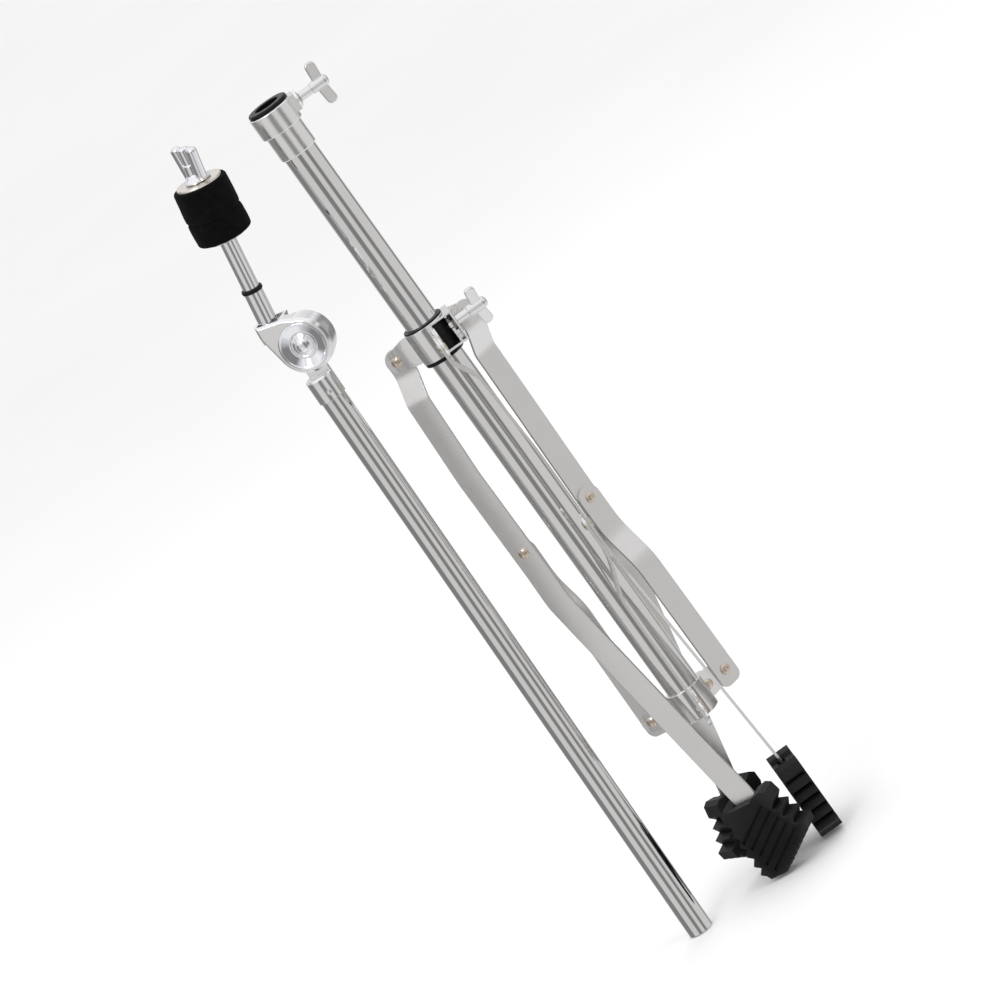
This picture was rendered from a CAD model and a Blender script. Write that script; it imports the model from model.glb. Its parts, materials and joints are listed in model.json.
# A cymbal stand: legs and struts, plated tubes, and a tilting head whose rod carries two felts.
# Metres, +Z up. The tubes stand along Z, close to X = Y = 0, and the camera looks from -Y.
import bpy, bmesh, json, math
from mathutils import Vector, Matrix, noise


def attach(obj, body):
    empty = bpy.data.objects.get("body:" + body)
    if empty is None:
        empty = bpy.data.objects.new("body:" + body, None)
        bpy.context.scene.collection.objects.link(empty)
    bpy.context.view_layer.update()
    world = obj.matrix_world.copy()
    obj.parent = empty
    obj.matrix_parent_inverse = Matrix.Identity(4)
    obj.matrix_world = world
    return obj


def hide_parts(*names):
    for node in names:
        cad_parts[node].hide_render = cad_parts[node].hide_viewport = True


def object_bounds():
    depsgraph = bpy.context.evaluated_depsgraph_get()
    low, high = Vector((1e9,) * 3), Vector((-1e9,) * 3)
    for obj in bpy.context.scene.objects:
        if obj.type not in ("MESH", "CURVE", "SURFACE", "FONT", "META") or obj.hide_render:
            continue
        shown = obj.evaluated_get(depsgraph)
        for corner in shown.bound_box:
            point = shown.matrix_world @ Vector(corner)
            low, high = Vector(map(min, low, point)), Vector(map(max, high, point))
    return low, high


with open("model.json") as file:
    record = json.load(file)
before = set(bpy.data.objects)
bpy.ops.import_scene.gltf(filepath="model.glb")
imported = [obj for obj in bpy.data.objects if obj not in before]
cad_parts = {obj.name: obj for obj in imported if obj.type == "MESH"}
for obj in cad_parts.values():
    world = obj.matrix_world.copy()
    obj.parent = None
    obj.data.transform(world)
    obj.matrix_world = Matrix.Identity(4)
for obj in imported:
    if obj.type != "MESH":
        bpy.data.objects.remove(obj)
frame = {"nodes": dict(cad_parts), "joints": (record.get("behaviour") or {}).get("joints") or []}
CAD_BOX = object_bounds()
nodes = frame["nodes"]
joints = {joint["name"]: joint for joint in frame["joints"]}
scene = bpy.context.scene


# ------------------------------------------------------------------ node helpers
def fill_ramp(ramp, stops):
    """Set a colour ramp to (position, grey or RGB) stops, given in rising order."""
    while len(ramp.elements) > 1:
        ramp.elements.remove(ramp.elements[-1])
    for i, (position, value) in enumerate(stops):
        rgb = value if isinstance(value, tuple) else (value, value, value)
        element = ramp.elements.new(position) if i else ramp.elements[0]
        element.position = position
        element.color = (*rgb, 1)


class Shader:
    """Builds a node tree. Any input takes a plain value or another node's output."""

    def __init__(self, owner):
        owner.use_nodes = True
        self.tree = owner.node_tree
        self.tree.nodes.clear()

    def feed(self, socket, value):
        if isinstance(value, bpy.types.NodeSocket):
            self.tree.links.new(value, socket)
        elif socket.type == "RGBA":
            socket.default_value = (*value, 1)
        else:
            socket.default_value = value

    def node(self, kind, **inputs):
        made = self.tree.nodes.new(kind)
        for name, value in inputs.items():
            self.feed(made.inputs[name], value)
        return made

    def math(self, operation, *values):
        made = self.node("ShaderNodeMath")
        made.operation = operation
        for socket, value in zip(made.inputs, values):
            self.feed(socket, value)
        return made.outputs[0]

    def ramp(self, factor, stops, interpolation="LINEAR"):
        made = self.node("ShaderNodeValToRGB", Fac=factor)
        made.color_ramp.interpolation = interpolation
        fill_ramp(made.color_ramp, stops)
        return made.outputs[0]

    def mix(self, a, b, factor, mode="MIX"):
        made = self.node("ShaderNodeMix")
        made.data_type = "RGBA"
        made.blend_type = mode
        # Sockets 0, 6 and 7 are the factor and the two colours.
        for index, value in ((0, factor), (6, a), (7, b)):
            self.feed(made.inputs[index], value)
        return made.outputs[2]


class Material(Shader):
    """One Principled material, textured in object coordinates."""

    def __init__(self, name):
        self.material = bpy.data.materials.new(name)
        super().__init__(self.material)
        output = self.node("ShaderNodeOutputMaterial")
        self.principled = self.node("ShaderNodeBsdfPrincipled")
        self.feed(output.inputs[0], self.principled.outputs[0])
        self.coord = self.node("ShaderNodeTexCoord").outputs["Object"]

    def surface(self, inputs):
        """Feed the Principled inputs and return the finished material."""
        for name, value in inputs.items():
            self.feed(self.principled.inputs[name], value)
        return self.material

    def noise(self, scale, detail=3.0, roughness=0.55, stretch=None):
        texture = self.node("ShaderNodeTexNoise", Scale=scale, Detail=detail, Roughness=roughness)
        vector = self.coord
        if stretch:
            vector = self.node("ShaderNodeMapping", Vector=vector, Scale=stretch).outputs[0]
        self.feed(texture.inputs["Vector"], vector)
        return texture.outputs["Fac"]

    def bump(self, height, strength, distance, normal=None):
        made = self.node("ShaderNodeBump", Strength=strength, Distance=distance, Height=height)
        if normal is not None:
            self.feed(made.inputs["Normal"], normal)
        return made.outputs[0]

    def bevel(self, radius):
        made = self.node("ShaderNodeBevel", Radius=radius)
        made.samples = 4
        return made.outputs[0]


# ------------------------------------------------------------------ materials
def chrome(name, colour, rough, grain, edge, stretch=(1, 1, 1), tint=None):
    """Plated metal: slow haze in the roughness, fine polishing lines, soft edges."""
    mat = Material(name)
    haze = mat.noise(scale=38.0, detail=4.0, roughness=0.6)
    lines = mat.noise(scale=900.0, detail=2.0, roughness=0.5, stretch=stretch)
    rough_low, rough_high = rough
    roughness = mat.ramp(mat.mix(haze, lines, factor=0.45),
                         [(0.35, rough_low), (0.68, rough_high)])
    dust = mat.ramp(mat.noise(scale=11.0, detail=5.0, roughness=0.65),
                    [(0.30, 0.965), (0.62, 1.0)])
    base = mat.mix(colour, dust, factor=1.0, mode="MULTIPLY")
    if tint:
        patches = mat.ramp(mat.noise(scale=60.0), [(0.4, 0.0), (0.75, 0.55)])
        base = mat.mix(base, tint, patches)
    return mat.surface({
        "Roughness": roughness,
        "Base Color": base,
        "Metallic": 1.0,
        "Normal": mat.bump(lines, strength=grain, distance=0.00004, normal=mat.bevel(edge)),
    })


def rubber():
    """Moulded rubber: fine pebble, mould bloom, worn lighter edges and dark hollows."""
    mat = Material("black_rubber")
    bloom = mat.noise(scale=55.0, detail=5.0, roughness=0.6)
    base = mat.ramp(bloom, [(0.30, (0.0030, 0.0030, 0.0032)), (0.72, (0.0075, 0.0075, 0.0080))])
    geometry = mat.node("ShaderNodeNewGeometry")
    worn = mat.ramp(geometry.outputs["Pointiness"], [(0.52, 0.0), (0.62, 0.5)])
    aged = mat.mix(base, (0.026, 0.026, 0.028), worn)
    # Moulding dirt keeps the fins' roots darker than their crests.
    hollow = mat.node("ShaderNodeAmbientOcclusion", Distance=0.006)
    hollow.samples = 4
    openness = mat.ramp(hollow.outputs["AO"], [(0.35, 0.0), (0.85, 1.0)])
    colour = mat.mix((0.0012, 0.0012, 0.0012), aged, openness)
    roughness = mat.ramp(mat.noise(scale=120.0), [(0.3, 0.42), (0.7, 0.58)])
    pebble = mat.noise(scale=2600.0, detail=2.0, roughness=0.5)
    wave = mat.noise(scale=300.0, detail=3.0, roughness=0.5)
    waved = mat.bump(wave, strength=0.25, distance=0.0002, normal=mat.bevel(0.0006))
    return mat.surface({
        "Base Color": colour,
        "Roughness": roughness,
        "Specular IOR Level": 0.13,
        "Normal": mat.bump(pebble, strength=0.22, distance=0.00008, normal=waved),
    })


def nylon():
    """Moulded nylon: low sheen, faint flow marks."""
    mat = Material("black_nylon")
    flow = mat.noise(scale=30.0, detail=4.0, roughness=0.6, stretch=(1.0, 1.0, 3.0))
    colour = mat.ramp(flow, [(0.3, (0.0035, 0.0035, 0.0035)), (0.7, (0.0080, 0.0078, 0.0075))])
    roughness = mat.ramp(mat.noise(scale=200.0), [(0.3, 0.28), (0.7, 0.42)])
    grain = mat.noise(scale=1500.0, detail=2.0)
    return mat.surface({
        "Base Color": colour,
        "Roughness": roughness,
        "Specular IOR Level": 0.16,
        "Normal": mat.bump(grain, strength=0.08, distance=0.00005, normal=mat.bevel(0.0004)),
    })


def felt():
    """Pressed wool felt: fibres matted in two directions, fuzz lit at grazing angles."""
    mat = Material("black_felt")
    fibres_z = mat.noise(scale=1500.0, detail=4.0, roughness=0.7, stretch=(1.0, 1.0, 0.22))
    fibres_x = mat.noise(scale=1300.0, detail=4.0, roughness=0.7, stretch=(0.25, 1.0, 1.0))
    clump = mat.noise(scale=170.0, detail=5.0, roughness=0.65)
    fibres = mat.mix(fibres_z, fibres_x, factor=0.5)
    colour = mat.ramp(mat.mix(fibres, clump, factor=0.45), [
        (0.36, (0.0016, 0.0015, 0.0015)),
        (0.55, (0.0038, 0.0037, 0.0037)),
        (0.72, (0.0110, 0.0110, 0.0115)),
    ])
    clumped = mat.bump(clump, strength=0.55, distance=0.0006)
    return mat.surface({
        "Base Color": colour,
        "Roughness": 0.96,
        "Specular IOR Level": 0.03,
        "Sheen Weight": 0.035,
        "Sheen Roughness": 0.55,
        "Sheen Tint": (0.55, 0.56, 0.60),
        "Normal": mat.bump(fibres, strength=0.8, distance=0.0003, normal=clumped),
    })


# rough: lowest and highest roughness; grain: strength of the polishing lines;
# edge: radius of the softened edges; stretch: scale of the lines' noise on X, Y and Z.
METALS = {
    "tube_chrome": dict(colour=(0.82, 0.815, 0.81), rough=(0.05, 0.09), grain=0.004,
                        edge=0.0003, stretch=(1.0, 1.0, 0.04)),
    "fitting_chrome": dict(colour=(0.87, 0.865, 0.86), rough=(0.09, 0.17), grain=0.012,
                           edge=0.0007),
    "collar_chrome": dict(colour=(0.90, 0.895, 0.885), rough=(0.20, 0.27), grain=0.012,
                          edge=0.0007),
    "wing_chrome": dict(colour=(0.80, 0.79, 0.78), rough=(0.10, 0.22), grain=0.06, edge=0.0007),
    "bright_chrome": dict(colour=(0.88, 0.88, 0.90), rough=(0.03, 0.07), grain=0.02, edge=0.0005),
    "strap_chrome": dict(colour=(0.80, 0.785, 0.77), rough=(0.27, 0.33), grain=0.035,
                         edge=0.0005, stretch=(1.0, 1.0, 0.03)),
    "rivet_metal": dict(colour=(0.64, 0.54, 0.43), rough=(0.16, 0.30), grain=0.08,
                        edge=0.0004, tint=(0.80, 0.76, 0.70)),
    "washer_metal": dict(colour=(0.80, 0.74, 0.66), rough=(0.20, 0.34), grain=0.06,
                         edge=0.0003, tint=(0.86, 0.82, 0.76)),
    "dark_steel": dict(colour=(0.35, 0.34, 0.33), rough=(0.25, 0.42), grain=0.06, edge=0.0003),
}
materials = {name: chrome(name, **look) for name, look in METALS.items()}
materials["black_rubber"] = rubber()
materials["black_nylon"] = nylon()
materials["black_felt"] = felt()

# The pieces that take each material by their full names.
PIECES = {
    "tube_chrome": ("base_tube", "upper_tube"),
    "fitting_chrome": ("upper_hub", "lower_hub", "tilter_socket", "tilter_head"),
    "collar_chrome": ("tube_collar",),
    "wing_chrome": ("collar_wing_bolt", "hub_wing_bolt", "tilter_wing_nut"),
    "bright_chrome": ("cymbal_wing_nut", "tilter_cap", "tilter_bolt", "cymbal_rod"),
    "black_rubber": ("rod_ring",),
    "black_nylon": ("collar_bush", "hub_bush_top", "hub_bush_bottom", "cymbal_sleeve",
                    "upper_tube_plug"),
    "washer_metal": ("top_washer", "seat_washer"),
    "dark_steel": ("collar_nut", "hub_nut"),
    "black_felt": ("lower_felt", "upper_felt"),
}
MATERIAL_OF_PIECE = {piece: name for name, pieces in PIECES.items() for piece in pieces}
SHARP_ANGLE = math.radians(28)


def material_name(piece):
    """Repeated pieces go by part of their name, the others by the table."""
    if piece.startswith(("leg_", "strut_")):
        return "strap_chrome"
    if "rivet" in piece:
        return "rivet_metal"
    if piece.startswith("foot_"):
        return "black_rubber"
    if piece.startswith(("ratchet_", "tilter_spring")):
        return "dark_steel"
    return MATERIAL_OF_PIECE[piece]


for piece, cad_object in nodes.items():
    mesh = cad_object.data
    mesh.materials.clear()
    mesh.materials.append(materials[material_name(piece)])
    for polygon in mesh.polygons:
        polygon.material_index = 0
        polygon.use_smooth = True
    mesh.set_sharp_from_angle(angle=SHARP_ANGLE)


def mesh_object(name, bm, material, smooth=False):
    """Turn a bmesh into a linked object with one material."""
    mesh = bpy.data.meshes.new(name)
    bm.to_mesh(mesh)
    bm.free()
    for polygon in mesh.polygons:
        polygon.use_smooth = smooth
    mesh.materials.append(material)
    made = bpy.data.objects.new(name, mesh)
    scene.collection.objects.link(made)
    return made


# ------------------------------------------------------------------ the felts
FELT_BORE = 0.0056     # radius of the hole
FELT_RIM = 0.0019      # rounding between the flats and the outer wall
FELT_GAP = 0.0001      # clearance at each flat
FELT_TURNS = 220       # points round each ring
FLAT_STEPS, RIM_STEPS, WALL_STEPS, BORE_STEPS = 12, 9, 26, 8
BORE_MARGIN = 0.0002   # the skin is left plain this close to the bore
FLAT_MARGIN = 0.0005   # the flats' fuzz reaches this far from them

# The rod's axis, from the cymbal nut's own joint.
nut = joints["cymbal_nut_turn"]
axis = Vector(nut["axis"]).normalized()
anchor = Vector(nut["pos_m"])
side = axis.orthogonal().normalized()
other = axis.cross(side).normalized()


def felt_profile(radius, half):
    """(radius, height) from the bore's low edge, round the outside and back down the bore."""
    flat = radius - FELT_RIM - FELT_BORE
    rim_angles = [math.pi / 2 * i / RIM_STEPS for i in range(RIM_STEPS)]
    points = [(FELT_BORE + flat * i / FLAT_STEPS, -half) for i in range(FLAT_STEPS)]
    points += [(radius - FELT_RIM + FELT_RIM * math.sin(a),
                -half + FELT_RIM * (1 - math.cos(a))) for a in rim_angles]
    points += [(radius, -half + FELT_RIM + (2 * half - 2 * FELT_RIM) * i / WALL_STEPS)
               for i in range(WALL_STEPS)]
    points += [(radius - FELT_RIM + FELT_RIM * math.cos(a),
                half - FELT_RIM + FELT_RIM * math.sin(a)) for a in rim_angles]
    points += [(radius - FELT_RIM - flat * i / FLAT_STEPS, half)
               for i in range(FLAT_STEPS + 1)]
    points += [(FELT_BORE, half - 2 * half * i / BORE_STEPS) for i in range(1, BORE_STEPS)]
    return points


def felt_skin(r, h, angle, radius, half, seed):
    """Move a profile point: the outer wall bulges and wavers, the flats only fuzz."""
    if r <= FELT_BORE + BORE_MARGIN:
        return r, h
    x, y = math.cos(angle), math.sin(angle)
    outward = (r - FELT_BORE) / (radius - FELT_BORE)
    lean = noise.noise(Vector((x * 1.1 + seed, y * 1.1, h * 60))) * 0.0007 * outward
    bulge = 0.0003 * (1 - (h / half) ** 2) * outward - 0.0004 * outward
    fuzz = noise.noise(Vector((x * r * 1500, y * r * 1500, h * 1500 + seed * 7))) * 0.00016
    height = h + (fuzz * 0.4 if abs(h) > half - FLAT_MARGIN else 0)
    return r + (lean + bulge + fuzz * outward), max(-half, min(half, height))


def felt_piece(name, node, seed):
    """A bored felt disc with an uneven skin, in the place of a CAD piece."""
    offsets = [v.co - anchor for v in nodes[node].data.vertices]
    heights = [offset.dot(axis) for offset in offsets]
    radius = max((offset - axis * h).length for offset, h in zip(offsets, heights))
    low, high = min(heights) + FELT_GAP, max(heights) - FELT_GAP
    middle, half = (low + high) / 2, (high - low) / 2
    bm = bmesh.new()
    rings = []
    for r, h in felt_profile(radius, half):
        ring = []
        for k in range(FELT_TURNS):
            angle = 2 * math.pi * k / FELT_TURNS
            out, up = felt_skin(r, h, angle, radius, half, seed)
            ring.append(bm.verts.new(anchor + axis * (middle + up)
                                     + side * (out * math.cos(angle))
                                     + other * (out * math.sin(angle))))
        rings.append(ring)
    for i, ring in enumerate(rings):
        following = rings[(i + 1) % len(rings)]
        for k in range(FELT_TURNS):
            after = (k + 1) % FELT_TURNS
            bm.faces.new((ring[k], ring[after], following[after], following[k]))
    bmesh.ops.recalc_face_normals(bm, faces=bm.faces)
    made = mesh_object(name, bm, materials["black_felt"], smooth=True)
    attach(made, "head")
    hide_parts(node)
    made.visible_glossy = False


felt_piece("felt_lower", "lower_felt", seed=3.0)
felt_piece("felt_upper", "upper_felt", seed=11.0)


# ------------------------------------------------------------------ floor
FLOOR_HALF = 30.0
FLOOR_DROP = 0.0005    # below the lowest point of the stand


def floor_material():
    mat = Material("floor")
    return mat.surface({
        "Base Color": mat.ramp(mat.noise(scale=3.0, detail=2.0), [(0.3, 0.90), (0.7, 0.92)]),
        "Roughness": 0.9,
        "Specular IOR Level": 0.05,
    })


floor_z = CAD_BOX[0][2] - FLOOR_DROP
bm = bmesh.new()
bm.faces.new([bm.verts.new(Vector((x * FLOOR_HALF, y * FLOOR_HALF, floor_z)))
              for x, y in ((-1, -1), (1, -1), (1, 1), (-1, 1))])
floor = mesh_object("floor", bm, floor_material())
floor.visible_glossy = False


# ------------------------------------------------------------------ world
# Soft panels facing the camera's side, each (centre, width) across an upright tube.
PANELS = ((-0.45, 0.30), (0.10, 0.20), (0.65, 0.40))
PANEL, GAP = 0.60, 0.18          # brightness of the panels and of the gaps
EDGE = 0.06                      # width of a panel's soft edge
PANEL_TINT = (1, 0.992, 0.985)
# (height, share): how far the pale cap covers the panels; height 0 is down, 1 is up.
CAP_SHARE = ((0.0, 0.7), (0.18, 0.62), (0.30, 0.05), (0.60, 0.05),
             (0.68, 0.9), (0.74, 0.25), (0.84, 0.9), (1.0, 1.0))


def panel_stops():
    # A fourth panel stands behind, so that the back isn't left dull.
    bands = [(-1.0, PANEL), (-0.97, PANEL), (-0.93, GAP)]
    for centre, width in PANELS:
        start, end = centre - width / 2, centre + width / 2
        bands += [(start - EDGE, GAP), (start, PANEL), (end, PANEL), (end + EDGE, GAP)]
    bands += [(0.94, GAP), (0.97, PANEL), (1.0, PANEL)]
    # A tube shows at x, -1 to 1 across its width, the direction at twice asin(x).
    return [(0.5 + math.asin(x) / math.pi, tuple(value * part for part in PANEL_TINT))
            for x, value in bands]


def studio():
    """Light and dark bands by direction, seen by glossy rays; all other rays see white."""
    world = bpy.data.worlds.new("studio")
    scene.world = world
    sky = Shader(world)
    output = sky.node("ShaderNodeOutputWorld")
    plain = sky.node("ShaderNodeBackground", Color=(1, 1, 1), Strength=1.0)
    strips = sky.node("ShaderNodeBackground", Strength=1.12)
    mixer = sky.node("ShaderNodeMixShader")
    path = sky.node("ShaderNodeLightPath")
    for socket, source in zip(mixer.inputs, (path.outputs["Is Glossy Ray"],
                                             plain.outputs[0], strips.outputs[0])):
        sky.feed(socket, source)
    sky.feed(output.inputs[0], mixer.outputs[0])
    direction = sky.node("ShaderNodeTexCoord").outputs["Generated"]
    x, y, z = sky.node("ShaderNodeSeparateXYZ", Vector=direction).outputs
    # Azimuth as 0 to 1: from the back (+Y) by the left (-X), the camera's side and the right.
    azimuth = sky.math("ARCTAN2", x, sky.math("MULTIPLY", y, -1.0))
    around = sky.math("MULTIPLY_ADD", azimuth, 1 / (2 * math.pi), 0.5)
    panels = sky.ramp(around, panel_stops(), "EASE")
    height = sky.math("MULTIPLY_ADD", z, 0.5, 0.5)
    colour = sky.mix(panels, (0.92, 0.93, 0.96), sky.ramp(height, CAP_SHARE))
    sky.feed(strips.inputs[0], colour)


studio()


# ------------------------------------------------------------------ lights
def area(name, place, target, size, energy, colour, glossy):
    light = bpy.data.lights.new(name, "AREA")
    light.shape = "RECTANGLE"
    light.size, light.size_y = size
    light.energy = energy
    light.color = colour
    lamp = bpy.data.objects.new(name, light)
    scene.collection.objects.link(lamp)
    lamp.location = place
    lamp.rotation_euler = (Vector(target) - Vector(place)).to_track_quat("-Z", "Y").to_euler()
    lamp.visible_glossy = glossy


area("key", place=(-1.1, -1.6, 1.2), target=(-0.03, 0, -0.3), size=(0.9, 0.9),
     energy=11, colour=(1, 0.995, 0.985), glossy=True)
area("fill", place=(1.5, -1.3, 0.4), target=(-0.03, 0, -0.35), size=(1.2, 1.2),
     energy=5, colour=(0.985, 0.99, 1), glossy=False)
area("back", place=(0.4, 1.6, 0.9), target=(-0.03, 0, -0.3), size=(1.2, 0.7),
     energy=6, colour=(1, 1, 1), glossy=False)


# ------------------------------------------------------------------ camera
# A long lens, a little above the level, rolled so that the stand lies across
# the frame with its head at the upper left.
ELEVATION = math.radians(13.0)
ROLL = math.radians(35.7)
DISTANCE = 6.0
VIEW_WIDTH = 0.6937    # what the frame spans at the target
SENSOR_WIDTH = 36.0    # millimetres
TARGET = Vector((-0.0295, 0.0, -0.3191))

back = Vector((0, -math.cos(ELEVATION), math.sin(ELEVATION)))
level_right = Vector((1, 0, 0))
level_up = Vector((0, math.sin(ELEVATION), math.cos(ELEVATION)))
right = math.cos(ROLL) * level_right - math.sin(ROLL) * level_up
up = math.sin(ROLL) * level_right + math.cos(ROLL) * level_up
lens = bpy.data.cameras.new("camera")
lens.sensor_width = SENSOR_WIDTH
lens.lens = SENSOR_WIDTH * DISTANCE / VIEW_WIDTH
lens.clip_end = 100
camera = bpy.data.objects.new("camera", lens)
scene.collection.objects.link(camera)
camera.matrix_world = Matrix(
    [(right[i], up[i], back[i], TARGET[i] + back[i] * DISTANCE) for i in range(3)]
    + [(0, 0, 0, 1)])
scene.camera = camera
scene.view_settings.view_transform = "Standard"
scene.view_settings.look = "None"

bpy.context.view_layer.update()
